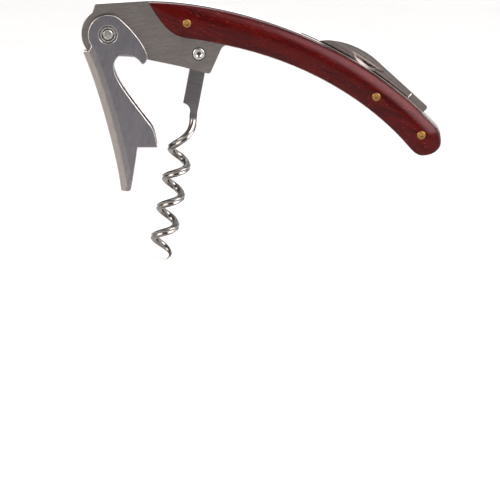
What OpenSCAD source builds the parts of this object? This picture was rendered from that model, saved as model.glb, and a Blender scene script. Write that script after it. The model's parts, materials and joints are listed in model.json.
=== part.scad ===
// Waiter's corkscrew with a curved rosewood handle, worm down and lever down as on a bottle.
// Millimetres, +X towards the handle's tail, +Z up, -Y the front side.
// Every outline is drawn in the XZ plane from the lever's pivot, and place() moves it so that
// the origin is the centre of the whole tool's box.

/* [Handle] */
// Thickness of each steel side plate
liner_t = 1.5; // [1.2:0.1:1.8]
// Gap between the two side plates
slot_w = 3.4; // [3.2:0.1:3.8]
// Thickness of each wooden scale at its crown
scale_t = 3.6; // [3:0.1:4.2]
// Thickness of a scale's edge under its rounding
scale_edge_t = 2.6; // [2:0.1:2.8]
// Radius of the head's knuckle round the lever's pivot
knuckle_r = 8.3; // [8:0.1:8.4]

/* [Pins] */
// Diameter of the brass pins
brass_d = 2.6; // [2.2:0.1:3]
// Diameter of the worm's pivot pin
worm_pin_d = 3.4; // [3:0.1:3.6]
// Diameter of the lever's rivet
rivet_d = 3.6; // [3.2:0.1:3.8]
// Outside diameter of the bush on the lever's rivet
bush_d = 5.4; // [4.8:0.1:5.6]

/* [Lever] */
// Width over the lever's two plates
lever_w = 11; // [10.8:0.1:11.6]
// Thickness of the lever's sheet steel
sheet_t = 1.2; // [1:0.1:1.3]
// Outside radius of the lever's two long bends
bend_r = 2.2; // [1.8:0.1:2.6]

/* [Worm] */
// Thickness of the worm's flat shank
shank_t = 2.8; // [2.6:0.1:2.9]
// Diameter of the worm's wire
wire_d = 2.5; // [2.2:0.1:2.8]
// Outside diameter of the helix
helix_d = 8.5; // [8:0.1:9]
// Rise of one turn of the helix
pitch = 9.5; // [8.5:0.1:10.5]
// Length from the worm's pivot to its point
worm_l = 65.5; // [60:0.5:66]
// Lean of the worm from upright
lean = 10.7; // [10:0.1:11]

/* [Knife] */
// Thickness of the foil knife's blade
blade_t = 1.7; // [1.4:0.1:1.9]
// Thickness of the knife's tang
tang_t = 2.1; // [1.9:0.1:2.4]

/* [Hidden] */
$fn = 48;

// Colours
liner_steel = [0.50, 0.47, 0.45];
lever_steel = [0.56, 0.54, 0.54];
worm_steel = [0.42, 0.41, 0.41];
rosewood = [0.36, 0.10, 0.10];
brass = [0.70, 0.54, 0.32];

// Pivots and pins
worm_pivot = [28.4, -6.3];
head_pin_at = [24.7, 3.75];
middle_pin_at = [83.9, -19.4];
knife_pivot = [98.0, -31.5];
spring_rivet_at = [50, -3.3];

// Clearances
running = 0.05;
side_gap = 0.05;
// How far a cut runs past the solid it cuts, and a step into the next one
past = 1;
overlap = 0.05;

// Thickness of the frame and of the whole handle
frame_w = slot_w + 2 * liner_t;
handle_w = frame_w + 2 * scale_t;
pin_proud = 0.1;
rivet_proud = 0.2;
lever_gap = lever_w - 2 * sheet_t;

// ---------------------------------------------------------------- helpers

// Points along a cubic curve from a to d, pulled towards b and c
function bez(a, b, c, d, n = 14) =
    [for (i = [0:n]) let (t = i / n, s = 1 - t)
        s * s * s * a + 3 * s * s * t * b + 3 * s * t * t * c + t * t * t * d];

// Points along an arc
function arc(c, r, from, to, n = 12) =
    [for (i = [0:n]) let (a = from + (to - from) * i / n) c + r * [cos(a), sin(a)]];

// Moves an open line of points to its right-hand side by d
function shifted(p, d) =
    [for (i = [0:len(p) - 1])
        let (v = p[min(i + 1, len(p) - 1)] - p[max(i - 1, 0)])
        p[i] + d * [v.y, -v.x] / norm(v)];

function reversed(p) = [for (i = [len(p) - 1:-1:0]) p[i]];

// Extrudes an XZ outline from y = a to y = b
module slab(a, b) {
    translate([0, b, 0]) rotate([90, 0, 0]) linear_extrude(b - a) children();
}

// A rod along Y through an XZ point
module rod(at, r, a, b) {
    translate([at.x, b, at.y]) rotate([90, 0, 0]) cylinder(r = r, h = b - a);
}

// A flat ring along Y round an XZ point
module ring(at, outer_r, inner_r, a, b) {
    difference() {
        rod(at, outer_r, a, b);
        rod(at, inner_r, a - past, b + past);
    }
}

// Turns the back piece's shape into the front one's
module front() {
    mirror([0, 1, 0]) children();
}

module place() {
    translate([-centre_x, 0, -centre_z]) children();
}

// ---------------------------------------------------------------- outlines

head_corner = [-3.9, 9.4];
head_top = [12.2, 10.4];
tail_corner = [103.1, -29.5];
tail_right = [104.2, -34.2];
tail_bottom = [98.4, -38.4];
belly_end = [94.4, -36.0];
handle_bottom_start = [36.9, -3.6];

// The handle's outer edge, clockwise: its back from the head to the tail, the round tail, its belly
handle_top = bez(head_top, [30, 10.6], [73, 3.2], tail_corner, 28);
handle_edge = concat(
    handle_top,
    bez(tail_corner, [103.9, -31.1], tail_right + [0, 1.8], tail_right, 4),
    bez(tail_right, tail_right - [0, 2.3], tail_bottom + [3.1, 0], tail_bottom, 6),
    bez(tail_bottom, tail_bottom - [1.8, 0], [95.4, -37.1], belly_end, 4),
    bez(belly_end, [92.7, -34.1], [75.1, -11.5], handle_bottom_start, 24));

// The head's step above the knuckle
step_angle = 126;
// The lowest stretch of the knuckle runs into the head's lower edge
knuckle_end = 250;

liner_outline = concat(
    [head_corner],
    handle_edge,
    arc([37.2, -5.6], 2.0, 100, 160, 4),
    arc([31.3, -11.5], 1, -20, -105, 4),
    [[22.5, -10.2], [17.8, -9.2], [12.5, -8.1]],
    bez([9, -7.4], [5, -6.8], [0, -7.0], knuckle_r * [cos(knuckle_end), sin(knuckle_end)], 6),
    reversed(arc([0, 0], knuckle_r, step_angle, knuckle_end, 20)));

// Where the wood meets the bare steel head, from the head's top to the lug
wood_border = concat(
    bez(head_top, [17.2, 2.2], [19.4, -0.7], [25.6, -1.5], 10),
    bez([25.6, -1.5], [29.3, -1.9], [33, -2.7], handle_bottom_start, 4));

wood_outline = concat(handle_edge, reversed(wood_border));

// ---------------------------------------------------------------- handle frame

module liner(a, b) {
    difference() {
        slab(a, b) polygon(liner_outline);
        rod([0, 0], bush_d / 2 + running, a - past, b + past);
        rod(worm_pivot, worm_pin_d / 2, a - past, b + past);
        rod(head_pin_at, brass_d / 2, a - past, b + past);
        rod(middle_pin_at, brass_d / 2, a - past, b + past);
        rod(knife_pivot, brass_d / 2, a - past, b + past);
        rod(spring_rivet_at, brass_d / 2, a - past, b + past);
    }
}

module back_liner() {
    color(liner_steel) place() liner(slot_w / 2, frame_w / 2);
}

module front_liner() {
    color(liner_steel) place() front() liner(slot_w / 2, frame_w / 2);
}

// How far right of the lever's pivot the head's solid block ends
spacer_end = 13;

module head_spacer() {
    color(liner_steel) place() difference() {
        slab(-slot_w / 2, slot_w / 2) intersection() {
            polygon(liner_outline);
            translate([-20, -20]) square([20 + spacer_end, 40]);
        }
        rod([0, 0], bush_d / 2 + running, -slot_w, slot_w);
    }
}

// The closed back of the handle, then a leaf that runs down under the knife to its tang
closed_end = 61;
spring_outline = concat(
    [[spacer_end, 10.4]],
    [for (p = handle_top) if (p.x > spacer_end && p.x < closed_end) p],
    bez([61.4, -3.4], [72, -7.5], [80, -14.2], [86.4, -20.0], 10),
    bez([86.4, -20.0], [89.5, -22.8], [91.6, -26], [93, -29.6], 5),
    [[91.6, -30.2]],
    bez([90.6, -28.2], [88.6, -25], [86, -22.6], [83.4, -21.6], 5),
    bez([81.6, -20.8], [72, -12], [60, -6.2], [46, -5.3], 10),
    [[38, -1.8], [33.2, -1.9], [28.4, -1.8], [spacer_end, -1.8]]);

module back_spring() {
    color(liner_steel) place() difference() {
        slab(-slot_w / 2, slot_w / 2) polygon(spring_outline);
        rod(head_pin_at, brass_d / 2, -slot_w, slot_w);
        rod(middle_pin_at, brass_d / 2, -slot_w, slot_w);
        rod(spring_rivet_at, brass_d / 2, -slot_w, slot_w);
    }
}

// ---------------------------------------------------------------- scales

scale_steps = 5;
// How far the scale's edge has drawn in at a share k of its rounding, as a quarter of an ellipse
crown_w = 3.2;
function crown_inset(k) = crown_w * (1 - sqrt(1 - k * k));

module scale_body(a) {
    rise = (scale_t - scale_edge_t) / scale_steps;
    difference() {
        union() {
            slab(a, a + scale_edge_t) polygon(wood_outline);
            for (i = [1:scale_steps])
                slab(a + scale_edge_t + (i - 1) * rise, a + scale_edge_t + i * rise)
                    offset(delta = -crown_inset((i - 0.4) / scale_steps)) polygon(wood_outline);
        }
        rod(head_pin_at, brass_d / 2, a - past, a + 2 * scale_t);
        rod(middle_pin_at, brass_d / 2, a - past, a + 2 * scale_t);
        rod(knife_pivot, brass_d / 2, a - past, a + 2 * scale_t);
    }
}

module back_scale() {
    color(rosewood) place() scale_body(frame_w / 2);
}

module front_scale() {
    color(rosewood) place() front() scale_body(frame_w / 2);
}

// ---------------------------------------------------------------- fixed pins

module brass_pin(at) {
    color(brass) place() rod(at, brass_d / 2, -handle_w / 2 - pin_proud, handle_w / 2 + pin_proud);
}

module head_pin() {
    brass_pin(head_pin_at);
}

module middle_pin() {
    brass_pin(middle_pin_at);
}

module knife_pin() {
    brass_pin(knife_pivot);
}

module spring_rivet() {
    color(liner_steel) place() rod(spring_rivet_at, brass_d / 2, -frame_w / 2, frame_w / 2);
}

// A peened pin with a dimple in each end, cut by a ball whose centre stands out of the pin
dimple_r = 1.1;
dimple_out = 0.5;

module worm_pin() {
    end_y = frame_w / 2 + rivet_proud;
    color(lever_steel) place() difference() {
        rod(worm_pivot, worm_pin_d / 2, -end_y, end_y);
        for (s = [-1, 1])
            translate([worm_pivot.x, s * (end_y + dimple_out), worm_pivot.y]) sphere(r = dimple_r);
    }
}

// ---------------------------------------------------------------- lever

lever_top_r = 6.25;
lip_z = -35.6;
lip_corner = [15.5, lip_z];
tongue_corner = [9.3, lip_z];
back_top = [-7.5, -5.5];
back_end = [4.0, -49.4];

// The lever's back edge, top to bottom
lever_back = bez(back_top, [-3.2, -16], [3.4, -41], back_end, 12);

// The lever's outline with its back edge drawn in by d
function lever_plate(d) = concat(
    arc([0, 0], lever_top_r, 185, 40, 14),
    bez([4.8, 4.0], [8.5, 0.8], [12.4, -4.8], [12.4, -7.2], 8),
    [[11.9, -8.6], [11.1, -9.4], [10.7, -9.3]],
    bez([9.6, -7.9], [8.6, -6.7], [4.6, -6.1], [3.4, -6.8], 5),
    bez([2.4, -8.2], [1.5, -9.4], [1.5, -10.8], [2.5, -13.0], 4),
    bez([3.3, -14.8], [5.7, -19.3], [10.4, -24.7], [13.5, -28.8], 6),
    [[14.4, -30.8], lip_corner, tongue_corner],
    bez([9.0, -37.6], [8.5, -41.5], [7.9, -45.2], [7.3, -48.4], 4),
    [[6.6, -49.2]],
    reversed(shifted(lever_back, -d)));

bend_steps = 4;
// How far each step of the bend runs in under the plate
bend_tuck = 0.4;
// How far a bend's outside has drawn in at a share k of its radius
function bend_inset(k) = bend_r * (1 - sqrt(1 - k * k));

// One half of the lever, on the back side
module lever_half() {
    y0 = lever_w / 2 - bend_r;
    rise = bend_r / bend_steps;
    slab(lever_gap / 2, lever_w / 2) polygon(lever_plate(bend_r));
    // the bend, in steps that each run in under the plate
    for (i = [0:bend_steps - 1])
        slab(y0 + i * rise - (i > 0 ? overlap : 0), y0 + (i + 1) * rise) polygon(concat(
            shifted(lever_back, -bend_inset((i + 0.6) / bend_steps)),
            reversed(shifted(lever_back, i == 0 ? -sheet_t : -bend_r - bend_tuck))));
    slab(0, y0) polygon(concat(lever_back, reversed(shifted(lever_back, -sheet_t))));
}

// Gap between the web's end and the knuckle, and the countersink round the bush
web_gap = 0.4;
sink_w = 0.75;
sink_h = 0.5;

module lever() {
    color(lever_steel) place() difference() {
        union() {
            lever_half();
            front() lever_half();
        }
        // the web stops short of the knuckle that it turns round
        rod([0, 0], knuckle_r + web_gap, -lever_gap / 2, lever_gap / 2);
        rod([0, 0], bush_d / 2 + running, -lever_w, lever_w);
        // a shallow countersink round each end of the bush
        for (s = [-1, 1])
            translate([0, s * (lever_w / 2 + overlap), 0]) rotate([s * 90, 0, 0])
                cylinder(r1 = bush_d / 2 + sink_w, r2 = bush_d / 2, h = sink_h);
    }
}

module lever_bush() {
    color(lever_steel) place() ring([0, 0], bush_d / 2, rivet_d / 2, -lever_w / 2, lever_w / 2);
}

module lever_rivet() {
    end_y = lever_w / 2 + rivet_proud;
    color(lever_steel) place() rod([0, 0], rivet_d / 2, -end_y, end_y);
}

lever_washer_r = 4.6;

module lever_washer() {
    ring([0, 0], lever_washer_r, bush_d / 2, frame_w / 2 + side_gap, lever_gap / 2 - side_gap);
}

module back_lever_washer() {
    color(lever_steel) place() lever_washer();
}

module front_lever_washer() {
    color(lever_steel) place() front() lever_washer();
}

// ---------------------------------------------------------------- worm

helix_r = (helix_d - wire_d) / 2;
// Depth below the pivot at which the helix starts, and the extra rise of its first half turn
helix_start = 21.3;
lead = 5;
turns = (worm_l - helix_start - lead) / pitch;
wire_sides = 12;
steps_per_turn = 22;
wire_steps = ceil(turns * steps_per_turn);
stem_steps = 5;
// The wire tapers to its point over this many degrees
taper = 200;

// Depth of the helix below the pivot after turning by a
function helix_depth(a) =
    helix_start + pitch * a / 360 + (a < 180 ? lead * (1 - pow(1 - a / 180, 2)) : lead);

// The helix starts nearer its axis and opens out over its first half turn
tuck = 0.8;
function helix_radius(a) = helix_r - (a < 150 ? tuck * pow(1 - a / 150, 2) : 0);

// Outward direction after turning by a, and the wire's centre there: X right, Y back, Z up from the pivot
function outward(a) = [cos(a), -sin(a), 0];
function helix_at(a) = helix_radius(a) * outward(a) - [0, 0, helix_depth(a)];

// The straight stem between the flat shank and the helix
stem_top = [1.55, 0, -16.6];
stem = [for (i = [0:stem_steps - 1]) stem_top + (helix_at(0) - stem_top) * i / stem_steps];

wire_turn = concat([for (i = [1:stem_steps]) 0], [for (i = [0:wire_steps]) i * turns * 360 / wire_steps]);
wire_path = concat(stem, [for (i = [0:wire_steps]) helix_at(i * turns * 360 / wire_steps)]);
wire_last = len(wire_path) - 1;
function wire_r(i) =
    let (left = (wire_last - i) * turns * 360 / wire_steps)
    wire_d / 2 * (left < taper ? 0.08 + 0.92 * sin(90 * left / taper) : 1);

function unit(v) = v / norm(v);
function wire_dir(i) = unit(wire_path[min(i + 1, wire_last)] - wire_path[max(i - 1, 0)]);

// One ring of points round the wire, square to its run
function wire_ring(i) =
    let (d = wire_dir(i), o = outward(wire_turn[i]), side = unit(o - (o * d) * d), up = cross(d, side))
    [for (j = [0:wire_sides - 1]) let (a = 360 * j / wire_sides)
        wire_path[i] + wire_r(i) * (cos(a) * side + sin(a) * up)];

module wire() {
    points = [for (i = [0:wire_last]) each wire_ring(i)];
    n = wire_sides;
    walls = [for (i = [0:wire_last - 1]) for (j = [0:n - 1]) let (k = (j + 1) % n) each [
        [i * n + k, i * n + j, (i + 1) * n + j],
        [(i + 1) * n + k, i * n + k, (i + 1) * n + j]]];
    start = [for (j = [0:n - 1]) j];
    end = [for (j = [n - 1:-1:0]) wire_last * n + j];
    polyhedron(points, concat([start], walls, [end]), convexity = 10);
}

eye_r = 3.2;
shank_left = -1.95;
shank_right = 3.0;

// The flat shank's outline, upright, from its pivot
shank_outline = concat(
    arc([0, 0], eye_r, 156, 0, 10),
    [[shank_right + 0.1, -6]],
    [[shank_right, -18.5], [shank_right - 0.6, -19.1], [1.4, -18.9]],
    bez([0.9, -18.4], [0.5, -17.5], [-0.5, -16.5], [shank_left, -16.4], 5));

module worm() {
    color(worm_steel) place() translate([worm_pivot.x, 0, worm_pivot.y]) rotate([0, lean, 0])
        difference() {
            union() {
                slab(-shank_t / 2, shank_t / 2) polygon(shank_outline);
                wire();
            }
            rod([0, 0], worm_pin_d / 2 + running, -shank_t, shank_t);
        }
}

module worm_washer() {
    ring(worm_pivot, eye_r, worm_pin_d / 2, shank_t / 2 + side_gap, slot_w / 2);
}

module back_worm_washer() {
    color(brass) place() worm_washer();
}

module front_worm_washer() {
    color(brass) place() front() worm_washer();
}

// ---------------------------------------------------------------- knife

tang_r = 3.2;
blade_tip = [63.6, -3.6];
plunge = [[95.2, -18.8], [88.9, -25.6]];

// The folded blade: its back, the square end of its tang, then round the pivot to the edge
blade_outline = concat(
    bez(blade_tip, [67.5, -0.6], [77.5, -2.8], [83.6, -8.2], 14),
    [[99.2, -22.5]],
    arc([98.9, -23.4], 0.9, 40, -50, 3),
    [[98.6, -25.0]],
    arc(knife_pivot, tang_r, 5, -180, 12),
    [[93.4, -26.6]],
    bez([91.4, -22.4], [84.6, -15.6], [76, -10.2], blade_tip + [0.9, -0.5], 10));

// The nail nick: a crescent cut into both faces near the back
nick_ends = [[75.6, -5.0], [86.3, -11.9]];
nick = concat(
    bez(nick_ends[0], [78.4, -5.9], [83.8, -9.4], nick_ends[1], 6),
    bez(nick_ends[1], [82.9, -12.8], [77.4, -10.2], nick_ends[0], 6));
nick_depth = 0.4;

module foil_blade() {
    color(liner_steel) place() difference() {
        union() {
            slab(-blade_t / 2, blade_t / 2) polygon(blade_outline);
            slab(-tang_t / 2, tang_t / 2) intersection() {
                polygon(blade_outline);
                polygon(concat(plunge, [[88.9, -40], [110, -40], [110, -18.8]]));
            }
        }
        for (s = [0, 1])
            mirror([0, s, 0]) slab(blade_t / 2 - nick_depth, blade_t) polygon(nick);
        rod(knife_pivot, brass_d / 2 + running, -blade_t, blade_t);
    }
}

module blade_washer() {
    ring(knife_pivot, tang_r, brass_d / 2, tang_t / 2 + side_gap, slot_w / 2);
}

module back_blade_washer() {
    color(brass) place() blade_washer();
}

module front_blade_washer() {
    color(brass) place() front() blade_washer();
}

// ---------------------------------------------------------------- the tool's box

tip = helix_at(turns * 360);
tip_z = worm_pivot.y + tip.z * cos(lean) - tip.x * sin(lean);
centre_x = (tail_right.x - knuckle_r) / 2;
centre_z = (head_top.y + tip_z) / 2;

front_liner();
back_liner();
head_spacer();
back_spring();
front_scale();
back_scale();
head_pin();
middle_pin();
knife_pin();
spring_rivet();
worm_pin();
lever();
lever_bush();
lever_rivet();
front_lever_washer();
back_lever_washer();
worm();
front_worm_washer();
back_worm_washer();
foil_blade();
front_blade_washer();
back_blade_washer();
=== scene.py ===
"""A waiter's corkscrew with a rosewood handle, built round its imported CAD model."""
import json
import math

import bmesh
import bpy
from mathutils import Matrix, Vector
from mathutils.geometry import delaunay_2d_cdt

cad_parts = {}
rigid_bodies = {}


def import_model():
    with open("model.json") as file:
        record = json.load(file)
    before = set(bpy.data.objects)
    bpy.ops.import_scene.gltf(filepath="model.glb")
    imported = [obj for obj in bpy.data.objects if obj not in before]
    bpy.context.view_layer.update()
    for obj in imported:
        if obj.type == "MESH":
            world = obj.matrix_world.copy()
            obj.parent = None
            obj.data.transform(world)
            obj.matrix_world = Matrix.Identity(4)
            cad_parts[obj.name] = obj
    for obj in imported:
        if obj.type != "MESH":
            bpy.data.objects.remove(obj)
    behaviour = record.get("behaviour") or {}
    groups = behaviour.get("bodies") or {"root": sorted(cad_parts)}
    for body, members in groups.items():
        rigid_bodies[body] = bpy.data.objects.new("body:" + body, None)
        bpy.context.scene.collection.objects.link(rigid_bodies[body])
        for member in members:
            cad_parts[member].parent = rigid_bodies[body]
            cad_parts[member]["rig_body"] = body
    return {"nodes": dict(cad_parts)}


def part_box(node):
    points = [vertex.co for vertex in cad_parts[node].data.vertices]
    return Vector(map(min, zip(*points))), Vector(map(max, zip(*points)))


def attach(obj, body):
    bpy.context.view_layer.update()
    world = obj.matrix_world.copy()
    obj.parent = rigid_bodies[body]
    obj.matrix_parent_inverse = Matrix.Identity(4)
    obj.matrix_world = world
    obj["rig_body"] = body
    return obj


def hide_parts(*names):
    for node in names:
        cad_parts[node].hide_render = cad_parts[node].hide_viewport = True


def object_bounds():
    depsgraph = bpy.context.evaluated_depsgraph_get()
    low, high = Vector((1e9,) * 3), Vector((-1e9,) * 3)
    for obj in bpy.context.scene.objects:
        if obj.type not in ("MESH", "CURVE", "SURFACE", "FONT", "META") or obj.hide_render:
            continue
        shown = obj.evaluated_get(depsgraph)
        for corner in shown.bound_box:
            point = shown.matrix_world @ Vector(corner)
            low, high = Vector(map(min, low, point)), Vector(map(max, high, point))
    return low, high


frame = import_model()
NODES = frame["nodes"]
CAD_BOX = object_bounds()
MM = 0.001


def centre_of(node):
    """Centre of a CAD node's box, in millimetres."""
    lo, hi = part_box(node)
    return (lo + hi) / (2 * MM)


def half_depth(node):
    """Half of a CAD node's extent along Y, in millimetres."""
    lo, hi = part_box(node)
    return (hi.y - lo.y) / (2 * MM)


PIVOT = centre_of("lever_rivet")  # the outlines below are measured from the lever's pivot
FRAME_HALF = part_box("back_liner")[1].y / MM
SCALE_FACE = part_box("back_scale")[1].y / MM
LEVER_HALF = half_depth("lever")


def row(x, z, y=0.0):
    """A point measured from the lever's pivot, in the frame's own axes and in metres."""
    return Vector(((x + PIVOT.x) * MM, y * MM, (z + PIVOT.z) * MM))


def local(node):
    """Where a CAD node's centre lies, measured from the lever's pivot."""
    c = centre_of(node)
    return Vector((c.x - PIVOT.x, c.z - PIVOT.z))


# ---------------------------------------------------------------- curves in the XZ plane, in millimetres

CLEAR = 0.985  # a row's point is kept at this share, or more, of its distance from every edge


def bez(a, b, c, d, n):
    """Points along a cubic curve from a to d, pulled towards b and c."""
    a, b, c, d = (Vector(p) for p in (a, b, c, d))
    out = []
    for i in range(n + 1):
        t = i / n
        s = 1 - t
        out.append(s**3 * a + 3 * s * s * t * b + 3 * s * t * t * c + t**3 * d)
    return out


def arc(c, r, start, end, n):
    """Points along an arc, with its angles in degrees."""
    steps = [math.radians(start + (end - start) * i / n) for i in range(n + 1)]
    return [Vector(c) + r * Vector((math.cos(a), math.sin(a))) for a in steps]


def clean(points, least=0.02):
    """Drops points that repeat the one before them."""
    out = []
    for p in map(Vector, points):
        if not out or (p - out[-1]).length > least:
            out.append(p)
    if (out[0] - out[-1]).length < least:
        out.pop()
    return out


def split(points, longest, closed=True):
    """Adds points so that no side of the line is longer than a limit."""
    out = []
    pairs = zip(points, points[1:] + points[:1]) if closed else zip(points, points[1:])
    for a, b in pairs:
        n = max(1, math.ceil((b - a).length / longest))
        out += [a.lerp(b, i / n) for i in range(n)]
    return out if closed else out + [points[-1]]


def circle(c, r, n):
    """A closed circle of n points."""
    return arc(c, r, 0, 360, n)[:-1]


def to_segment(p, a, b):
    """How far a point is from the segment between a and b."""
    ab = b - a
    t = max(0.0, min(1.0, (p - a).dot(ab) / max(ab.length_squared, 1e-12)))
    return (p - a - t * ab).length


def distance(p, line, closed=False):
    """How far a point is from a line of points."""
    pairs = zip(line, line[1:] + line[:1]) if closed else zip(line, line[1:])
    return min(to_segment(p, a, b) for a, b in pairs)


def inside(p, loop):
    """Whether a point lies within a closed line."""
    odd = False
    for a, b in zip(loop, loop[1:] + loop[:1]):
        if (a.y > p.y) != (b.y > p.y) and p.x < (b.x - a.x) * (p.y - a.y) / (b.y - a.y) + a.x:
            odd = not odd
    return odd


def rows_beside(line, distances, closed=False):
    """Points on both sides of a line, at each of several distances from it."""
    out = []
    n = len(line)
    for i, p in enumerate(line):
        before = line[i - 1] if (i or closed) else p
        after = line[(i + 1) % n] if (i < n - 1 or closed) else p
        v = after - before
        if v.length < 1e-9:
            continue
        side = Vector((v.y, -v.x)).normalized()
        for d in distances:
            out += [(p + side * d, d), (p - side * d, d)]
    return out


def drawn_in(outline, d):
    """A closed outline moved inwards by d."""
    beside = [p for p, _ in rows_beside(outline, (d,), closed=True)]
    return [p for p in beside if inside(p, outline) and distance(p, outline, closed=True) > 0.97 * d]


# ---------------------------------------------------------------- meshes


def add_object(name, mesh):
    obj = bpy.data.objects.new(name, mesh)
    bpy.context.scene.collection.objects.link(obj)
    return obj


def finished(bm, name, angle=32):
    """Turns a bmesh into an object with smooth faces and sharp edges where it turns sharply."""
    bmesh.ops.recalc_face_normals(bm, faces=bm.faces)
    mesh = bpy.data.meshes.new(name)
    bm.to_mesh(mesh)
    bm.free()
    mesh.shade_smooth()
    mesh.set_sharp_from_angle(angle=math.radians(angle))
    return add_object(name, mesh)


def bevelled(obj, width, segments=2, angle=32):
    mod = obj.modifiers.new("rounded edges", "BEVEL")
    mod.width = width * MM
    mod.segments = segments
    mod.limit_method = "ANGLE"
    mod.angle_limit = math.radians(angle)
    mod.harden_normals = True
    mod.use_clamp_overlap = True
    return obj


def from_cad(node, name, width, segments=2):
    """A new piece from a CAD solid's own faces, joined into whole flats and given rounded edges."""
    bm = bmesh.new()
    bm.from_mesh(NODES[node].data)
    bmesh.ops.remove_doubles(bm, verts=bm.verts, dist=1e-6)
    bmesh.ops.dissolve_limit(bm, angle_limit=math.radians(0.5), verts=bm.verts, edges=bm.edges)
    obj = bevelled(finished(bm, name), width, segments)
    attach(obj, NODES[node]["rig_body"])
    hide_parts(node)
    return obj


def triangulated(outline, holes, extra):
    """Triangles that fill an outline, round its holes and through extra points."""
    loops = [outline] + holes
    points = [p for loop in loops for p in loop]
    edges = []
    start = 0
    for loop in loops:
        n = len(loop)
        edges += [(start + i, start + (i + 1) % n) for i in range(n)]
        start += n
    verts, _, faces, *_ = delaunay_2d_cdt(points + extra, edges, [], 0, 1e-5)
    keep = []
    for f in faces:
        mid = sum((verts[i] for i in f), Vector((0, 0))) / len(f)
        if inside(mid, outline) and not any(inside(mid, h) for h in holes):
            keep.append(f)
    return verts, keep


def lathe(bm, at, profile, sides=48):
    """Turns a profile of (radius, y) points round an axis along Y."""
    rings = []
    for r, y in profile:
        if r < 1e-6:
            rings.append([bm.verts.new(row(at.x, at.y, y))])
            continue
        ring = []
        for i in range(sides):
            a = 2 * math.pi * i / sides
            ring.append(bm.verts.new(row(at.x + r * math.cos(a), at.y + r * math.sin(a), y)))
        rings.append(ring)
    for a, b in zip(rings, rings[1:]):
        for i in range(sides):
            j = (i + 1) % sides
            face = [a[i % len(a)], a[j % len(a)], b[j % len(b)], b[i % len(b)]]
            whole = []
            for v in face:
                if v not in whole:
                    whole.append(v)
            bm.faces.new(whole)


def below(face, *steps):
    """A profile of (radius, y) points from (radius, depth below the face) pairs."""
    return [(r, face - depth) for r, depth in steps]


def both_ends(half_profile):
    """A profile for one end, continued to the same end mirrored in Y."""
    return half_profile + [(r, -y) for r, y in reversed(half_profile)]


def turned(name, node, body, half_profile, sides=48, ring=False):
    """A turned pin, or a turned ring when its profile closes on itself, that stands for a CAD node."""
    bm = bmesh.new()
    profile = both_ends(half_profile)
    if ring:
        profile = profile + profile[:1]
    lathe(bm, local(node), profile, sides)
    bmesh.ops.remove_doubles(bm, verts=bm.verts, dist=1e-7)
    obj = finished(bm, name, angle=40)
    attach(obj, body)
    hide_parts(node)
    return obj


# ---------------------------------------------------------------- materials


def linear(*rgb):
    """0-255 screen colour to the linear colour that a shader takes."""
    out = []
    for v in rgb:
        v /= 255
        out.append(v / 12.92 if v <= 0.04045 else ((v + 0.055) / 1.055) ** 2.4)
    return (*out, 1.0)


class Shader:
    """A material with a Principled shader and short calls for the nodes that feed it."""

    def __init__(self, name, **constants):
        self.material = bpy.data.materials.new(name)
        self.material.use_nodes = True
        self.tree = self.material.node_tree
        self.main = self.tree.nodes["Principled BSDF"]
        for socket, value in constants.items():
            self.main.inputs[socket.replace("_", " ")].default_value = value

    def node(self, kind, **settings):
        n = self.tree.nodes.new(kind)
        for key, value in settings.items():
            setattr(n, key, value)
        return n

    def link(self, a, b):
        self.tree.links.new(a, b)

    def coordinates(self, scale, turn=0.0):
        """Object coordinates in units of each axis's scale, in millimetres, after a turn about Y."""
        place = self.node("ShaderNodeTexCoord").outputs["Object"]
        turned_by = self.node("ShaderNodeMapping")
        turned_by.inputs["Rotation"].default_value = (0, math.radians(turn), 0)
        stretched = self.node("ShaderNodeMapping")
        stretched.inputs["Scale"].default_value = tuple(1 / (s * MM) for s in scale)
        self.link(place, turned_by.inputs["Vector"])
        self.link(turned_by.outputs["Vector"], stretched.inputs["Vector"])
        return stretched.outputs["Vector"]

    def noise(self, vector, detail=3.0, rough=0.5, distortion=0.0):
        n = self.node("ShaderNodeTexNoise")
        n.inputs["Scale"].default_value = 1.0
        n.inputs["Detail"].default_value = detail
        n.inputs["Roughness"].default_value = rough
        n.inputs["Distortion"].default_value = distortion
        self.link(vector, n.inputs["Vector"])
        return n.outputs["Fac"]

    def ramp(self, value, *stops):
        n = self.node("ShaderNodeValToRGB")
        while len(n.color_ramp.elements) < len(stops):
            n.color_ramp.elements.new(0.5)
        for e, (at, colour) in zip(n.color_ramp.elements, stops):
            e.position = at
            e.color = colour
        self.link(value, n.inputs["Fac"])
        return n.outputs["Color"]

    def mapped(self, value, low, high, to_low, to_high):
        n = self.node("ShaderNodeMapRange")
        for key, v in zip(("From Min", "From Max", "To Min", "To Max"), (low, high, to_low, to_high)):
            n.inputs[key].default_value = v
        self.link(value, n.inputs["Value"])
        return n.outputs["Result"]

    def mix(self, factor, a, b, blend="MIX"):
        n = self.node("ShaderNodeMix", data_type="RGBA", blend_type=blend)
        for socket, value in ((n.inputs["Factor"], factor), (n.inputs["A"], a), (n.inputs["B"], b)):
            self.feed(socket, value)
        return n.outputs["Result"]

    def feed(self, socket, value):
        if isinstance(value, bpy.types.NodeSocket):
            self.link(value, socket)
        else:
            socket.default_value = value

    def bump(self, height, depth, strength=1.0, under=None):
        """A bump of a real depth in millimetres, on top of another one if under is given."""
        n = self.node("ShaderNodeBump")
        n.inputs["Strength"].default_value = strength
        n.inputs["Distance"].default_value = depth * MM
        self.link(height, n.inputs["Height"])
        if under is not None:
            self.link(under, n.inputs["Normal"])
        return n.outputs["Normal"]

    def set(self, **sockets):
        for key, value in sockets.items():
            self.feed(self.main.inputs[key.replace("_", " ")], value)
        return self.material


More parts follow.
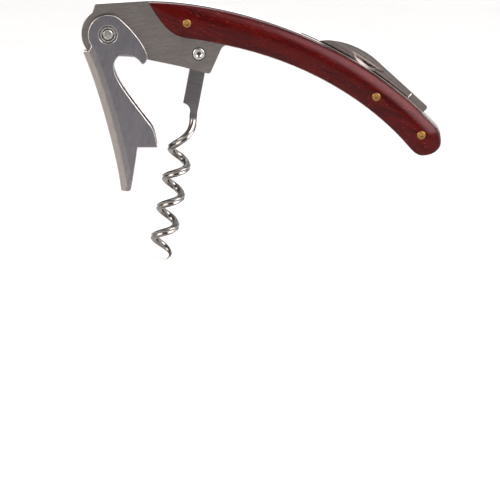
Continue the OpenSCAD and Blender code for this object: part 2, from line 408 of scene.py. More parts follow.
def brushed(name, dark, light, turn, rough=(0.26, 0.42), scratch=0.0025):
    """Brushed steel: fine lines along one direction, slow cloudiness, and a few stray scratches."""
    s = Shader(name, Metallic=1.0, Anisotropic=0.35)
    lines = s.noise(s.coordinates((7.0, 0.09, 0.09), turn), 4.0, 0.6)
    clouds = s.noise(s.coordinates((4.0, 2.5, 2.5), turn), 3.0, 0.55)
    stray = s.noise(s.coordinates((3.0, 0.25, 0.12), turn + 31), 2.0, 0.5)
    colour = s.ramp(lines, (0.3, dark), (0.7, light))
    shade = s.ramp(clouds, (0.3, (0.86, 0.86, 0.87, 1)), (0.7, (1.0, 1.0, 1.0, 1)))
    worn = s.ramp(stray, (0.70, (1, 1, 1, 1)), (0.76, (0.86, 0.86, 0.86, 1)))
    colour = s.mix(1.0, s.mix(1.0, colour, shade, "MULTIPLY"), worn, "MULTIPLY")
    roughness = s.mapped(lines, 0.3, 0.7, *rough)
    fine = s.bump(lines, scratch)
    return s.set(Base_Color=colour, Roughness=roughness, Normal=fine)


def plain_metal(name, dark, light, rough, grain=0.35, depth=0.003, size=(0.5, 0.5, 0.5)):
    """Turned or cast metal with fine even mottling."""
    s = Shader(name, Metallic=1.0)
    cloud = s.noise(s.coordinates(size), 4.0, 0.6)
    fine = s.noise(s.coordinates((grain, grain, grain)), 2.0, 0.5)
    colour = s.ramp(cloud, (0.35, dark), (0.65, light))
    roughness = s.mapped(fine, 0.3, 0.7, *rough)
    return s.set(Base_Color=colour, Roughness=roughness, Normal=s.bump(fine, depth))


GRAIN_TURN = -24  # the grain runs from the head to the tail


def rosewood():
    """Polished rosewood: long colour bands, dark streaks, open pores and a few pale flecks."""
    s = Shader(
        "rosewood",
        IOR=1.45,
        Specular_IOR_Level=0.24,
        Specular_Tint=(1.0, 0.5, 0.53, 1.0),
        Coat_Weight=0.05,
        Coat_Roughness=0.15,
        Coat_IOR=1.5,
    )
    bands = s.noise(s.coordinates((16.0, 2.4, 2.4), GRAIN_TURN), 4.0, 0.6, 0.8)
    fibre = s.noise(s.coordinates((3.2, 0.28, 0.28), GRAIN_TURN), 4.0, 0.65)
    streak = s.noise(s.coordinates((6.0, 0.7, 0.7), GRAIN_TURN), 3.0, 0.55, 0.6)
    pores = s.noise(s.coordinates((1.3, 0.3, 0.3), GRAIN_TURN), 2.0, 0.5)
    fleck = s.noise(s.coordinates((0.9, 0.42, 0.42), GRAIN_TURN), 2.0, 0.5)
    colour = s.ramp(
        bands,
        (0.28, linear(41, 5, 8)),
        (0.44, linear(54, 5, 5)),
        (0.58, linear(69, 7, 4)),
        (0.76, linear(50, 6, 7)),
    )
    fibre_shade = s.ramp(fibre, (0.3, (0.8, 0.76, 0.76, 1)), (0.68, (1, 1, 1, 1)))
    colour = s.mix(1.0, colour, fibre_shade, "MULTIPLY")
    streak_shade = s.ramp(streak, (0.32, (0.62, 0.58, 0.6, 1)), (0.46, (1, 1, 1, 1)))
    colour = s.mix(1.0, colour, streak_shade, "MULTIPLY")
    dots = s.ramp(pores, (0.30, (0, 0, 0, 1)), (0.37, (1, 1, 1, 1)))
    colour = s.mix(dots, linear(30, 8, 10), colour)
    pale = s.ramp(fleck, (0.66, (0, 0, 0, 1)), (0.74, (1, 1, 1, 1)))
    colour = s.mix(s.mapped(pale, 0, 1, 0.0, 0.5), colour, linear(150, 62, 52))
    roughness = s.mapped(fibre, 0.3, 0.7, 0.2, 0.31)
    surface = s.bump(dots, 0.02, 0.6, s.bump(fibre, 0.004, 0.5))
    return s.set(Base_Color=colour, Roughness=roughness, Normal=surface)


FRAME_STEEL = brushed("frame steel", linear(111, 106, 103), linear(131, 125, 121), 8, (0.22, 0.34))
# a lighter copy of the frame steel: painted glare, given to faces that the light above falls on
PAINTED_GLARE_STEEL = brushed("painted glare steel", linear(190, 180, 176), linear(216, 207, 202), 8, (0.3, 0.45))
LEVER_STEEL = brushed("lever steel", linear(103, 102, 108), linear(125, 122, 125), 82, (0.2, 0.31))
# a bright steel for painted highlights along the lever's chamfered edges and the knife's plunge line
PAINTED_HIGHLIGHT_STEEL = plain_metal("painted highlight steel", linear(180, 176, 173), linear(210, 206, 202), (0.2, 0.3))
# lighter copies of the lever steel: a painted highlight on the bend, fainter beside it
LEVER_BEND_HIGHLIGHT = brushed("lever bend with painted highlight", linear(138, 131, 127), linear(164, 157, 151), 76, (0.24, 0.36))
LEVER_FADING_HIGHLIGHT = brushed("lever beside the bend with fainter painted highlight", linear(118, 115, 117), linear(142, 138, 137), 79, (0.22, 0.33))
BLADE_STEEL = brushed("blade steel", linear(106, 101, 98), linear(127, 121, 117), -46, (0.22, 0.34))
WORM_STEEL = plain_metal("polished wire", linear(112, 108, 106), linear(140, 136, 132), (0.14, 0.24), 0.5)
SHANK_STEEL = brushed("shank steel", linear(84, 82, 85), linear(106, 103, 102), -10, (0.22, 0.34))
RIVET_STEEL = plain_metal("rivet steel", linear(160, 156, 153), linear(200, 196, 191), (0.2, 0.36), 0.3)
BRASS = plain_metal("brass", linear(140, 103, 52), linear(168, 130, 76), (0.24, 0.4), 0.25)
SHADOWED = plain_metal("shadowed steel", linear(52, 50, 49), linear(70, 67, 65), (0.5, 0.6))
HAMMERED = plain_metal(
    "hammered rivet", linear(126, 124, 122), linear(178, 176, 173), (0.24, 0.42), 0.6, 0.05, (0.7, 0.7, 0.7)
)
ROSEWOOD = rosewood()


def dress(obj, material, others=()):
    """Gives a piece its material, and any materials that some of its faces have."""
    for m in (material, *others):
        obj.data.materials.append(m)
    return obj


# ---------------------------------------------------------------- the handle

HEAD_TOP = (12.2, 10.4)
TAIL_CORNER = (103.1, -29.5)
TAIL_RIGHT = Vector((104.2, -34.2))
TAIL_BOTTOM = Vector((98.4, -38.4))
BELLY_END = (94.4, -36.0)
BELLY_START = (36.9, -3.6)

handle_edge = (
    bez(HEAD_TOP, (30, 10.6), (73, 3.2), TAIL_CORNER, 90)
    + bez(TAIL_CORNER, (103.9, -31.1), TAIL_RIGHT + Vector((0, 1.8)), TAIL_RIGHT, 10)
    + bez(TAIL_RIGHT, TAIL_RIGHT - Vector((0, 2.3)), TAIL_BOTTOM + Vector((3.1, 0)), TAIL_BOTTOM, 14)
    + bez(TAIL_BOTTOM, TAIL_BOTTOM - Vector((1.8, 0)), (95.4, -37.1), BELLY_END, 8)
    + bez(BELLY_END, (92.7, -34.1), (75.1, -11.5), BELLY_START, 70)
)
wood_border = bez(HEAD_TOP, (17.2, 2.2), (19.4, -0.7), (25.6, -1.5), 20) + bez(
    (25.6, -1.5), (29.3, -1.9), (33, -2.7), BELLY_START, 14
)
CROWN = 1.6  # how far the scale's middle stands above its edge
HEAD_CROWN = 0.5  # the same at the head end, where the face is nearly flat
CROWN_START = 40  # how far right of the pivot the full crown starts
CROWN_WIDTH = 4.6
RIM_DROP = 0.25  # how far the rim falls, and over what width
RIM_WIDTH = 0.3
INSET = 0.28  # how much of the steel plate shows round the scale
WOOD_OUTLINE = drawn_in(split(clean(handle_edge + wood_border[::-1]), 0.9), INSET)
BRASS_R = 1.3


def scale_height(x, d):
    """Height of a scale's face at a distance d from its outline: a rounded rim, a parabola, then flat."""
    t = min(max((x - HEAD_TOP[0]) / (CROWN_START - HEAD_TOP[0]), 0), 1)
    crown = HEAD_CROWN + (CROWN - HEAD_CROWN) * t * t * (3 - 2 * t)
    k = 1 - min(d, CROWN_WIDTH) / CROWN_WIDTH
    rim = RIM_DROP * (1 - min(d, RIM_WIDTH) / RIM_WIDTH) ** 2
    return SCALE_FACE - crown * k * k - rim


def scale_piece(name, node, side):
    """A wooden scale with a domed face, a flat back and round holes for its pins."""
    pins = [local(n) for n in ("head_pin", "middle_pin", "knife_pin")]
    holes = [circle(c, BRASS_R, 32) for c in pins]
    levels = (0.05, 0.16, 0.34, 0.65, 1.1, 1.7, 2.4, 3.2, 4.0, CROWN_WIDTH)
    extra = []
    for p, d in rows_beside(WOOD_OUTLINE, levels, closed=True):
        if inside(p, WOOD_OUTLINE) and distance(p, WOOD_OUTLINE, closed=True) > d * CLEAR:
            if all((p - c).length > BRASS_R + 0.2 for c in pins):
                extra.append(p)
    verts, faces = triangulated(WOOD_OUTLINE, holes, extra)
    heights = [scale_height(v.x, distance(v, WOOD_OUTLINE, closed=True)) for v in verts]
    bm = bmesh.new()
    top = [bm.verts.new(row(v.x, v.y, side * h)) for v, h in zip(verts, heights)]
    back = [bm.verts.new(row(v.x, v.y, side * FRAME_HALF)) for v in verts]
    borders = {}
    for f in faces:
        bm.faces.new([top[i] for i in f])
        bm.faces.new([back[i] for i in reversed(f)])
        for a, b in zip(f, f[1:] + f[:1]):
            borders[(a, b)] = borders.get((a, b), 0) + 1
    for a, b in borders:
        if (b, a) not in borders:
            bm.faces.new([top[b], top[a], back[a], back[b]])
    bmesh.ops.delete(bm, geom=[v for v in bm.verts if not v.link_faces], context="VERTS")
    obj = finished(bm, name, angle=50)
    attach(obj, "handle")
    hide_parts(node)
    return dress(obj, ROSEWOOD)


scale_piece("front_wood_scale", "front_scale", -1)
scale_piece("back_wood_scale", "back_scale", 1)

for node, name, width in (
    ("front_liner", "front_side_plate", 0.2),
    ("back_liner", "back_side_plate", 0.2),
    ("head_spacer", "head_block", 0.08),
    ("back_spring", "closed_back_and_spring", 0.1),
):
    piece = from_cad(node, name, width)
    # the head block and closed back are wholly in the painted glare steel, the plates only where they face
    # up
    dress(piece, FRAME_STEEL if "plate" in name else PAINTED_GLARE_STEEL, (PAINTED_GLARE_STEEL,))
    for f in piece.data.polygons:  # faces of the handle's back that turn upwards get the lighter steel as painted glare from the light above
        if f.normal.z > 0.4 and f.center.x > row(*HEAD_TOP)[0]:
            f.material_index = 1

# ---------------------------------------------------------------- the lever

SHEET = 1.2
BEND_R = 2.2
BACK_TOP = (-7.9, -5.6)
BACK_END = (4.0, -49.4)
LEVER_BACK = bez(BACK_TOP, (-3.2, -16), (3.4, -41), BACK_END, 44)
LEVER_FRONT = (
    [(-6.3, -5.2), (-5.7, -4.6)]
    + arc((0, 0), 6.25, 214, 40, 52)
    + bez((4.8, 4.0), (8.5, 0.8), (12.4, -4.8), (12.4, -7.2), 24)
    + bez((12.4, -7.2), (12.3, -8.2), (11.5, -9.5), (10.7, -9.3), 8)
    + bez((10.7, -9.3), (9.6, -7.9), (8.9, -7.3), (8.0, -7.0), 6)
    + bez((8.0, -7.0), (6.4, -6.5), (4.6, -6.3), (3.4, -6.8), 10)
    + bez((3.4, -6.8), (2.0, -8.0), (1.2, -10.0), (2.5, -13.0), 16)
    + bez((2.5, -13.0), (4.2, -17.0), (9.6, -23.6), (13.5, -28.8), 30)
    + bez((13.5, -28.8), (14.6, -30.6), (14.9, -32.6), (15.5, -35.6), 10)
    + [(9.3, -35.6)]
    + bez((9.3, -35.6), (9.0, -37.6), (8.4, -42.2), (7.3, -48.4), 14)
    + bez((7.3, -48.4), (7.2, -48.9), (7.0, -49.3), (6.4, -49.4), 3)
)
LEVER_HOLE = 2.8
BEND_HIGHLIGHT_REACH = 2.15  # how far the painted highlight on the bend reaches from the back edge
FADING_HIGHLIGHT_REACH = 3.95  # and how far a fainter painted highlight between the two reaches
MOST_CLEAR = 0.95  # no row's point has to be further than this from every edge


def bend_depth(d):
    """How far the lever's outside has dropped from its flat side at a distance from its back edge."""
    k = 1 - min(d, BEND_R) / BEND_R
    return BEND_R * (1 - math.sqrt(max(0.0, 1 - k * k)))


def lever_piece():
    """Both plates, their bends and the web as one skin, thickened into sheet."""
    back = LEVER_BACK
    front = split(clean(LEVER_FRONT), 1.5, closed=False)
    tongue_end = [front[-1].lerp(back[-1], t) for t in (0.2, 0.4, 0.6, 0.8)]
    outline = clean(front + tongue_end + back[::-1])
    extra = []
    for line, levels in ((back, (0.45, 0.95, 1.5, 2.1, 2.9, 3.9)), (front, (0.45, 1.0))):
        for p, d in rows_beside(line, levels):
            if not inside(p, outline) or p.length <= LEVER_HOLE + 0.3:
                continue
            if distance(p, outline, closed=True) > CLEAR * min(d, MOST_CLEAR):
                extra.append(p)
    hole = circle((0, 0), LEVER_HOLE, 56)
    verts, faces = triangulated(outline, [hole], extra)
    bm = bmesh.new()
    sides = []
    from_back = [distance(v, back) for v in verts]
    heights = [LEVER_HALF - bend_depth(d) for d in from_back]
    for side in (-1, 1):
        ring = [bm.verts.new(row(v.x, v.y, side * h)) for v, h in zip(verts, heights)]
        for f in faces:
            face = bm.faces.new([ring[i] for i in (f if side > 0 else f[::-1])])
            reach = max(from_back[i] for i in f)
            # faces near the back edge get the painted highlight, fainter further out
            face.material_index = 2 if reach < BEND_HIGHLIGHT_REACH else 3 if reach < FADING_HIGHLIGHT_REACH else 0
        sides.append(ring)
    along = []
    for p in back[3:]:
        near = min(range(len(verts)), key=lambda i: (verts[i] - p).length)
        along.append([sides[0][near], sides[1][near]])
    # the web gets the bend's painted highlight too
    for a, b in zip(along, along[1:]):
        bm.faces.new([a[0], a[1], b[1], b[0]]).material_index = 2
    bmesh.ops.delete(bm, geom=[v for v in bm.verts if not v.link_faces], context="VERTS")
    obj = finished(bm, "lever_sheet", angle=40)
    thick = obj.modifiers.new("sheet thickness", "SOLIDIFY")
    thick.thickness = SHEET * MM
    thick.offset = -1
    thick.use_even_offset = True
    thick.use_quality_normals = True
    chamfer = bevelled(obj, 0.22, segments=1, angle=50).modifiers[-1]
    chamfer.use_clamp_overlap = False
    chamfer.mark_sharp = True
    # the chamfers get the painted highlight steel
    chamfer.material = 1
    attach(obj, "lever")
    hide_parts("lever")
    return dress(obj, LEVER_STEEL, (PAINTED_HIGHLIGHT_STEEL, LEVER_BEND_HIGHLIGHT, LEVER_FADING_HIGHLIGHT))


lever_piece()

# the bush and its rivet: a ring standing just clear of a slightly domed, hammered head
bush_profile = below(
    LEVER_HALF, (1.86, 0.6), (1.98, 0.12), (2.08, 0), (2.36, 0), (2.46, 0.12), (2.5, 0.45), (2.7, 0.6)
)
bush = turned("lever_bush_ring", "lever_bush", "lever_rivet", bush_profile, 56, ring=True)
dress(bush, RIVET_STEEL)
RIVET_PROUD = 0.2
head_steps = ((0, 0), (0.5, 0.01), (1.0, 0.03), (1.3, 0.07), (1.48, 0.16), (1.6, 0.34), (1.66, 0.7))
head_profile = below(LEVER_HALF + RIVET_PROUD, *head_steps)
rivet = turned("lever_rivet_head", "lever_rivet", "lever_rivet", head_profile, 56)
dress(rivet, HAMMERED)


# ---------------------------------------------------------------- pins and washers

brass_steps = ((0, 0.03), (0.3, 0.05), (0.42, 0.01), (0.62, 0.04), (0.74, 0), (0.96, 0.03), (1.06, 0.01))
brass_rim = ((1.2, 0.05), (1.28, 0.14))
brass_profile = below(half_depth("head_pin"), *brass_steps, *brass_rim)
for place in ("head", "middle", "knife"):
    dress(turned(place + "_brass_pin", place + "_pin", "handle", brass_profile), BRASS)

pin_end = half_depth("worm_pin")
dimple = below(pin_end, (0, 0.5), (0.35, 0.47), (0.7, 0.36), (0.93, 0.16), (1.05, 0.03))
rim = below(pin_end, (1.2, 0), (1.5, 0.01), (1.7, 0.08), (1.82, 0.2)) + [(1.86, FRAME_HALF + 0.01)]
worm_pin = turned("dimpled_worm_pin", "worm_pin", "handle", dimple + rim)
dress(worm_pin, RIVET_STEEL, (SHADOWED,))
DIMPLE_R = 0.8  # the dimple's shadowed part
pin_axis = row(*local("worm_pin"))
for face in worm_pin.data.polygons:
    away = face.center - pin_axis
    face.material_index = int(math.hypot(away.x, away.z) < DIMPLE_R * MM)

# a flat dark ring just proud of each side plate round the worm pin: a painted shadow where a groove's shade
# would fall
bm = bmesh.new()
for side in (-1, 1):
    groove = below(FRAME_HALF, (1.8, 0.05), (1.8, -0.015), (2.14, -0.015), (2.16, 0.05))
    lathe(bm, local("worm_pin"), [(r, side * y) for r, y in groove], 48)
shadow_ring = finished(bm, "painted_shadow_ring_round_worm_pin", angle=40)
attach(shadow_ring, "handle")
dress(shadow_ring, SHADOWED)

for node, name, material, slot in (
    ("front_lever_washer", "front_lever_spacing_washer", RIVET_STEEL, "lever_steel"),
    ("back_lever_washer", "back_lever_spacing_washer", RIVET_STEEL, "lever_steel"),
    ("front_worm_washer", "front_worm_thin_washer", BRASS, "brass"),
    ("back_worm_washer", "back_worm_thin_washer", BRASS, "brass"),
    ("front_blade_washer", "front_knife_washer", BRASS, "brass"),
    ("back_blade_washer", "back_knife_washer", BRASS, "brass"),
    ("spring_rivet", "spring_rivet_pin", PAINTED_GLARE_STEEL, "frame_steel"),
):
    dress(from_cad(node, name, 0.06), material)


# ---------------------------------------------------------------- the worm

WORM_AT = local("worm_pin")
LEAN = 10.7  # how far the worm hangs from upright, in degrees
SHANK_HALF = 1.4
EYE_R = 3.2
WIRE_R = 1.25
HELIX_R = 3.0
PITCH = 9.5
HELIX_TOP = 21.3  # how far below the pivot the helix starts
LEAD = 5.0  # how much further than the pitch its first half turn drops
WORM_LENGTH = 65.5
TUCK = 0.8  # how much narrower the helix starts
TURNS = (WORM_LENGTH - HELIX_TOP - LEAD) / PITCH
TAPER = 200  # how many degrees before its end the wire starts to taper
POINT = 0.06  # the point's thickness as a share of the wire's
SECTION = 28  # how many points a ring round the wire has
STEPS_PER_TURN = 44
STEM_STEPS = 6
FLAT_POWER = 12  # how square the shank's section is, then the stem's and the wire's, where 2 is round
STEM_POWER = 2.6
WIRE_POWER = 2.0
EYE_HOLE = 1.75
SHANK_LEFT = -1.95
SHANK_RIGHT = 3.05
STEM_W = 2.65  # how far the shank's left side steps in to reach the stem
STEP_TOP = -16.4  # where that step starts, and how high it is
STEP_H = 2.6
SHANK_RINGS = 25  # how many of the rings belong to the flat shank
GROOVE = 26  # half of the groove's width round the wire, in degrees
GROOVE_DEPTH = 0.34
GROOVE_RINGS = 8  # over how many rings the groove starts
GROOVE_END = 120  # over how many degrees it ends


def helix_at(a):
    """The wire's centre after turning by a degrees, from the worm's pivot with the worm upright."""
    lead = LEAD * (1 - (1 - a / 180) ** 2) if a < 180 else LEAD
    r = HELIX_R - (TUCK * (1 - a / 150) ** 2 if a < 150 else 0)
    t = math.radians(a)
    return Vector((r * math.cos(t), -r * math.sin(t), -(HELIX_TOP + PITCH * a / 360 + lead)))


def leaning(p):
    """From the upright worm to its place in the frame."""
    t = math.radians(LEAN)
    x = p.x * math.cos(t) + p.z * math.sin(t)
    z = -p.x * math.sin(t) + p.z * math.cos(t)
    return row(WORM_AT.x + x, WORM_AT.y + z, p.y)


def section(centre, side, up, wide, thick, power, groove):
    """One ring of the worm: a rounded oblong that turns into a circle, with a groove on its outer side."""
    ring = []
    for i in range(SECTION):
        a = 2 * math.pi * i / SECTION
        c, s = math.cos(a), math.sin(a)
        x = math.copysign(abs(c) ** (2 / power), c)
        y = math.copysign(abs(s) ** (2 / power), s)
        off = math.degrees(min(a, 2 * math.pi - a))
        dip = groove * 0.5 * (1 + math.cos(math.pi * off / GROOVE)) if off < GROOVE else 0.0
        k = 1 - dip / wide
        ring.append(leaning(centre + side * (wide * x * k) + up * (thick * y)))
    return ring


def shank_rings():
    """The flat shank from its eye down to the stem, as it narrows from an oblong to the wire's width."""
    levels = [(z, SHANK_LEFT) for z in (-2.2, -4, -7, -10, -13, -15.2, -16.0, -16.35)]
    for i in range(1, 15):
        u = (i / 14) ** 1.8
        levels.append((STEP_TOP - STEP_H * u, SHANK_LEFT + STEM_W * math.sqrt(1 - (1 - u) ** 2)))
    rings = []
    for z, left in levels:
        narrow = (left - SHANK_LEFT) / STEM_W
        centre = Vector(((left + SHANK_RIGHT) / 2, 0, z))
        thick = SHANK_HALF + (WIRE_R - SHANK_HALF) * narrow
        power = FLAT_POWER - (FLAT_POWER - STEM_POWER) * narrow
        wide = (SHANK_RIGHT - left) / 2
        rings.append(section(centre, Vector((1, 0, 0)), Vector((0, 1, 0)), wide, thick, power, 0.0))
    return rings


def wire_rings():
    """The stem and the helix down to the point."""
    rings = []
    top = Vector(((SHANK_LEFT + STEM_W + SHANK_RIGHT) / 2, 0, STEP_TOP - STEP_H))
    first = helix_at(0)
    path = [(top.lerp(first, i / STEM_STEPS), 0.0) for i in range(1, STEM_STEPS)]
    steps = math.ceil(TURNS * STEPS_PER_TURN)
    path += [(helix_at(TURNS * 360 * i / steps), TURNS * 360 * i / steps) for i in range(steps + 1)]
    for i, (p, a) in enumerate(path):
        before = path[i - 1][0] if i else top
        after = path[min(i + 1, len(path) - 1)][0]
        d = (after - before).normalized()
        t = math.radians(a)
        out = Vector((math.cos(t), -math.sin(t), 0))
        side = (out - d * out.dot(d)).normalized()
        up = side.cross(d)
        left_to_go = TURNS * 360 - a
        taper = math.sin(math.radians(90 * left_to_go / TAPER)) if left_to_go < TAPER else 1.0
        r = WIRE_R * (POINT + (1 - POINT) * taper)
        fade = min(1.0, i / GROOVE_RINGS) * min(1.0, left_to_go / GROOVE_END)
        power = STEM_POWER - (STEM_POWER - WIRE_POWER) * min(1.0, i / STEM_STEPS)
        rings.append(section(p, side, up, r, r, power, GROOVE_DEPTH * fade))
    return rings


def worm_piece():
    """The shank, its eye and the wire as one piece, like the CAD solid it stands for."""
    bm = bmesh.new()
    rings = [[bm.verts.new(p) for p in ring] for ring in shank_rings() + wire_rings()]
    for k, (a, b) in enumerate(zip(rings, rings[1:])):
        for i in range(SECTION):
            j = (i + 1) % SECTION
            bm.faces.new([a[i], a[j], b[j], b[i]]).material_index = int(k < SHANK_RINGS)
    bm.faces.new(rings[0])
    bm.faces.new(rings[-1][::-1])
    # the eye that turns on the pin
    outer = circle((0, 0), EYE_R, 60)
    inner = circle((0, 0), EYE_HOLE, 60)
    loops = []
    for points, y in ((outer, -SHANK_HALF), (outer, SHANK_HALF), (inner, SHANK_HALF), (inner, -SHANK_HALF)):
        loops.append([bm.verts.new(leaning(Vector((p.x, y, p.y)))) for p in points])
    for a, b in zip(loops, loops[1:] + loops[:1]):
        for i in range(len(a)):
            j = (i + 1) % len(a)
            bm.faces.new([a[i], a[j], b[j], b[i]])
    obj = finished(bm, "worm_wire_and_shank", angle=48)
    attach(obj, "worm")
    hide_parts("worm")
    return dress(obj, WORM_STEEL, (SHANK_STEEL,))


worm_piece()


# ---------------------------------------------------------------- the foil knife

KNIFE_AT = local("knife_pin")
TANG_R = 3.2
TIP = Vector((63.6, -3.6))
BLADE_HALF = 0.85
TANG_HALF = 1.1
SPINE = bez(TIP, (67.5, -0.6), (77.5, -2.8), (83.6, -8.2), 40)
EDGE = bez((93.4, -26.6), (91.0, -21.2), (82.0, -11.8), TIP + Vector((0.9, -0.5)), 40)
BLADE_OUTLINE = clean(
    SPINE
    + [(99.2, -22.5)]
    + arc((98.9, -23.4), 0.9, 40, -50, 8)
    + [(98.6, -25.0)]
    + arc(KNIFE_AT, TANG_R, 5, -180, 36)
    + EDGE
)
PLUNGE = (Vector((95.2, -18.8)), Vector((88.9, -25.6)))  # the line where the blade's grinding stops
NICK_ENDS = ((75.6, -5.0), (86.3, -11.9))
NICK_TOP = bez(NICK_ENDS[0], (78.4, -5.9), (83.8, -9.4), NICK_ENDS[1], 24)
NICK_LOW = bez(NICK_ENDS[1], (82.9, -12.8), (77.4, -10.2), NICK_ENDS[0], 24)
NICK = clean(NICK_TOP + NICK_LOW)
NICK_SLOPE = 0.52  # how steeply its lower wall rises
NICK_TURN = 0.65  # how far across the nick its bottom lies
GRIND = 4.2  # how far the ground face reaches from the edge
EDGE_HALF = 0.12  # half of the edge's thickness
PLUNGE_WIDTH = 0.45  # how wide the slope up to the tang is, and how far the painted highlight along it reaches
PLUNGE_HIGHLIGHT_REACH = 0.26
KNIFE_HOLE = 1.35
GRID_FROM = (63, -36)  # the knife's inner points: a grid's corner, its step, columns and rows
GRID_STEP = 0.7
GRID_COLUMNS = 54
GRID_ROWS = 50


def beyond_plunge(p):
    """How far a point lies on the tang's side of the line where the blade's grinding stops."""
    across = PLUNGE[1] - PLUNGE[0]
    return (across.x * (p.y - PLUNGE[0].y) - across.y * (p.x - PLUNGE[0].x)) / across.length


def blade_half(p):
    """Half of the knife's thickness at a point: a thicker tang, a ground edge and a scooped nail nick."""
    beyond = beyond_plunge(p)
    step = max(0.0, min(1.0, 0.5 + beyond / PLUNGE_WIDTH))
    half = BLADE_HALF + (TANG_HALF - BLADE_HALF) * step
    if beyond < 0:
        ground = distance(p, EDGE) / GRIND
        half = min(half, EDGE_HALF + (BLADE_HALF - EDGE_HALF) * min(1.0, ground) ** 0.8)
    if inside(p, NICK):
        up, down = distance(p, NICK_TOP), distance(p, NICK_LOW)
        share = up / max(up + down, 1e-6)
        depth = share / NICK_TURN if share < NICK_TURN else (1 - share) / (1 - NICK_TURN)
        half -= NICK_SLOPE * (1 - NICK_TURN) * (up + down) * depth
    return half


def knife_piece():
    """Blade and tang as one solid, with its thickness from blade_half at every point."""
    outline = split(BLADE_OUTLINE, 0.8)
    extra = []
    for p, _ in rows_beside(split(list(PLUNGE), 0.5, closed=False), (0.01, 0.12, 0.24)):
        extra.append(p)
    for share in (0.0, 0.15, 0.3, 0.5, 0.6, 0.64, 0.65, 0.68, 0.78, 0.9, 1.0):
        for a, b in zip(NICK_TOP, NICK_LOW[::-1]):
            extra.append(a.lerp(b, share))
    extra += [p for p, _ in rows_beside(EDGE, (0.3, 0.8, 1.5, 2.4, 3.4, GRIND))]
    for i in range(GRID_COLUMNS):
        for j in range(GRID_ROWS):
            p = Vector((GRID_FROM[0] + i * GRID_STEP, GRID_FROM[1] + j * GRID_STEP))
            if distance(p, NICK, closed=True) > 0.4 and not inside(p, NICK):
                extra.append(p)
    extra = [p for p in extra if inside(p, outline) and distance(p, outline, closed=True) > 0.12]
    extra = [p for p in extra if (p - KNIFE_AT).length > KNIFE_HOLE + 0.25]
    hole = circle(KNIFE_AT, KNIFE_HOLE, 36)
    verts, faces = triangulated(outline, [hole], extra)
    bm = bmesh.new()
    layers = []
    for side in (-1, 1):
        layers.append([bm.verts.new(row(v.x, v.y, side * blade_half(v))) for v in verts])
        for f in faces:
            face = bm.faces.new([layers[-1][i] for i in (f if side > 0 else f[::-1])])
            # faces near the plunge line get the painted highlight
            face.material_index = int(max(abs(beyond_plunge(verts[i])) for i in f) < PLUNGE_HIGHLIGHT_REACH)
    count = {(a, b) for f in faces for a, b in zip(f, f[1:] + f[:1])}
    for a, b in count:
        if (b, a) not in count:
            bm.faces.new([layers[0][a], layers[0][b], layers[1][b], layers[1][a]])
    bmesh.ops.delete(bm, geom=[v for v in bm.verts if not v.link_faces], context="VERTS")
    obj = bevelled(finished(bm, "foil_knife_blade", angle=26), 0.1, angle=50)
    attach(obj, "knife")
    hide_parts("foil_blade")
    return dress(obj, BLADE_STEEL, (PAINTED_HIGHLIGHT_STEEL,))


knife_piece()


# ---------------------------------------------------------------- floor, light and camera

FLOOR_Z = CAD_BOX[0].z - 0.0004
bm = bmesh.new()
bmesh.ops.create_circle(bm, cap_ends=True, segments=96, radius=4.0)
floor = finished(bm, "studio_floor")
floor.location = (0, 0, FLOOR_Z)
paper = Shader("white paper floor", Roughness=0.85, Specular_IOR_Level=0.2, Emission_Color=(1, 1, 1, 1))
soft = paper.noise(paper.coordinates((60.0, 60.0, 60.0)), 2.0)
paper.set(Base_Color=paper.ramp(soft, (0.3, (0.61, 0.61, 0.61, 1)), (0.7, (0.63, 0.63, 0.63, 1))))
# beyond the lamps' pool of light the paper glows, so that it stays as pale out there
away = paper.node("ShaderNodeVectorMath", operation="LENGTH")
paper.link(paper.coordinates((1000, 1000, 1000)), away.inputs[0])
dress(floor, paper.set(Emission_Strength=paper.mapped(away.outputs["Value"], 0.8, 2.2, 0.0, 0.62)))


def soft_light(name, at, size, power, colour=(1, 1, 1), spread=180, aim=(0, 0, 0)):
    data = bpy.data.lights.new(name, "AREA")
    data.spread = math.radians(spread)
    data.shape = "RECTANGLE"
    data.size, data.size_y = size
    data.energy = power
    data.color = colour
    lamp = bpy.data.objects.new(name, data)
    bpy.context.scene.collection.objects.link(lamp)
    lamp.location = at
    lamp.rotation_euler = (Vector(aim) - Vector(at)).to_track_quat("-Z", "Y").to_euler()
    lamp.visible_camera = False
    return lamp


soft_light("overhead softbox", (0.05, 0.0, 1.15), (1.0, 0.7), 4.8)
soft_light("key softbox", (0.8, -0.84, 0.7), (1.0, 0.95), 6.0, (1.0, 0.95, 0.96), 80)
soft_light("back softbox", (0.2, 1.5, 0.5), (2.2, 0.8), 13.0)
soft_light("left softbox", (-0.92, -0.5, 0.48), (0.9, 1.0), 5.0, (1.0, 0.93, 0.87), 90)
soft_light("right softbox", (1.05, -0.1, 0.45), (0.8, 0.8), 1.5, (1.0, 1.0, 1.0), 90)


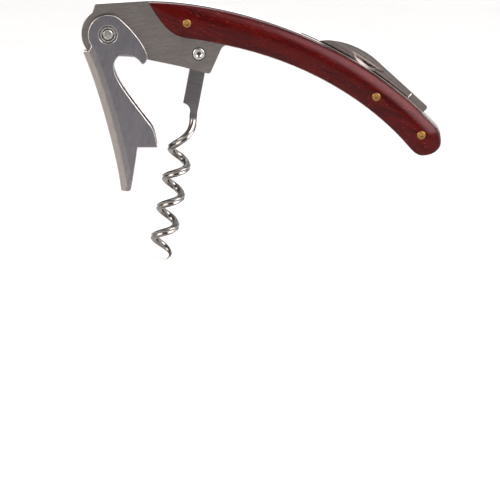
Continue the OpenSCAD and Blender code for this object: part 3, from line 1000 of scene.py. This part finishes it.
def studio_world():
    """A white room behind the object that darkens towards the front."""
    world = bpy.data.worlds.new("studio")
    bpy.context.scene.world = world
    world.use_nodes = True
    tree = world.node_tree
    heading = tree.nodes.new("ShaderNodeSeparateXYZ")
    tree.links.new(tree.nodes.new("ShaderNodeTexCoord").outputs["Generated"], heading.inputs["Vector"])
    depth = tree.nodes.new("ShaderNodeMapRange")
    depth.inputs["From Min"].default_value = -1
    depth.inputs["From Max"].default_value = 1
    tree.links.new(heading.outputs["Y"], depth.inputs["Value"])
    room = tree.nodes.new("ShaderNodeValToRGB")
    stops = [*room.color_ramp.elements, room.color_ramp.elements.new(0.5)]
    for stop, (at, v) in zip(stops, ((0.1, 0.05), (0.5, 0.35), (0.9, 0.9))):
        stop.position = at
        stop.color = (v, v, v, 1)
    tree.links.new(depth.outputs["Result"], room.inputs["Fac"])
    tree.links.new(room.outputs["Color"], tree.nodes["Background"].inputs["Color"])


studio_world()

VIEW_ELEVATION = 7.8
PICTURE_WIDTH = 0.15625  # the width that the picture shows at the object, in metres
DISTANCE = 5.0
PICTURE_PLANE = -5.7  # where along Y that width is measured, in millimetres
PIVOT_LEFT = 0.0444  # how far left of the picture's middle the lever's pivot is, and how far above it
PIVOT_ABOVE = 0.0672
cam_data = bpy.data.cameras.new("camera")
cam_data.sensor_width = 36
cam_data.lens = cam_data.sensor_width * DISTANCE / PICTURE_WIDTH
camera = bpy.data.objects.new("camera", cam_data)
bpy.context.scene.collection.objects.link(camera)
bpy.context.scene.camera = camera
tilt = math.radians(VIEW_ELEVATION)
look = Vector((0, math.cos(tilt), -math.sin(tilt)))
up = Vector((0, math.sin(tilt), math.cos(tilt)))
middle = row(0, 0, PICTURE_PLANE) + Vector((PIVOT_LEFT, 0, 0)) - up * PIVOT_ABOVE
camera.location = middle - look * DISTANCE
camera.rotation_euler = look.to_track_quat("-Z", "Y").to_euler()
cam_data.clip_start = 0.1
cam_data.clip_end = 30

bpy.context.scene.view_settings.view_transform = "Standard"
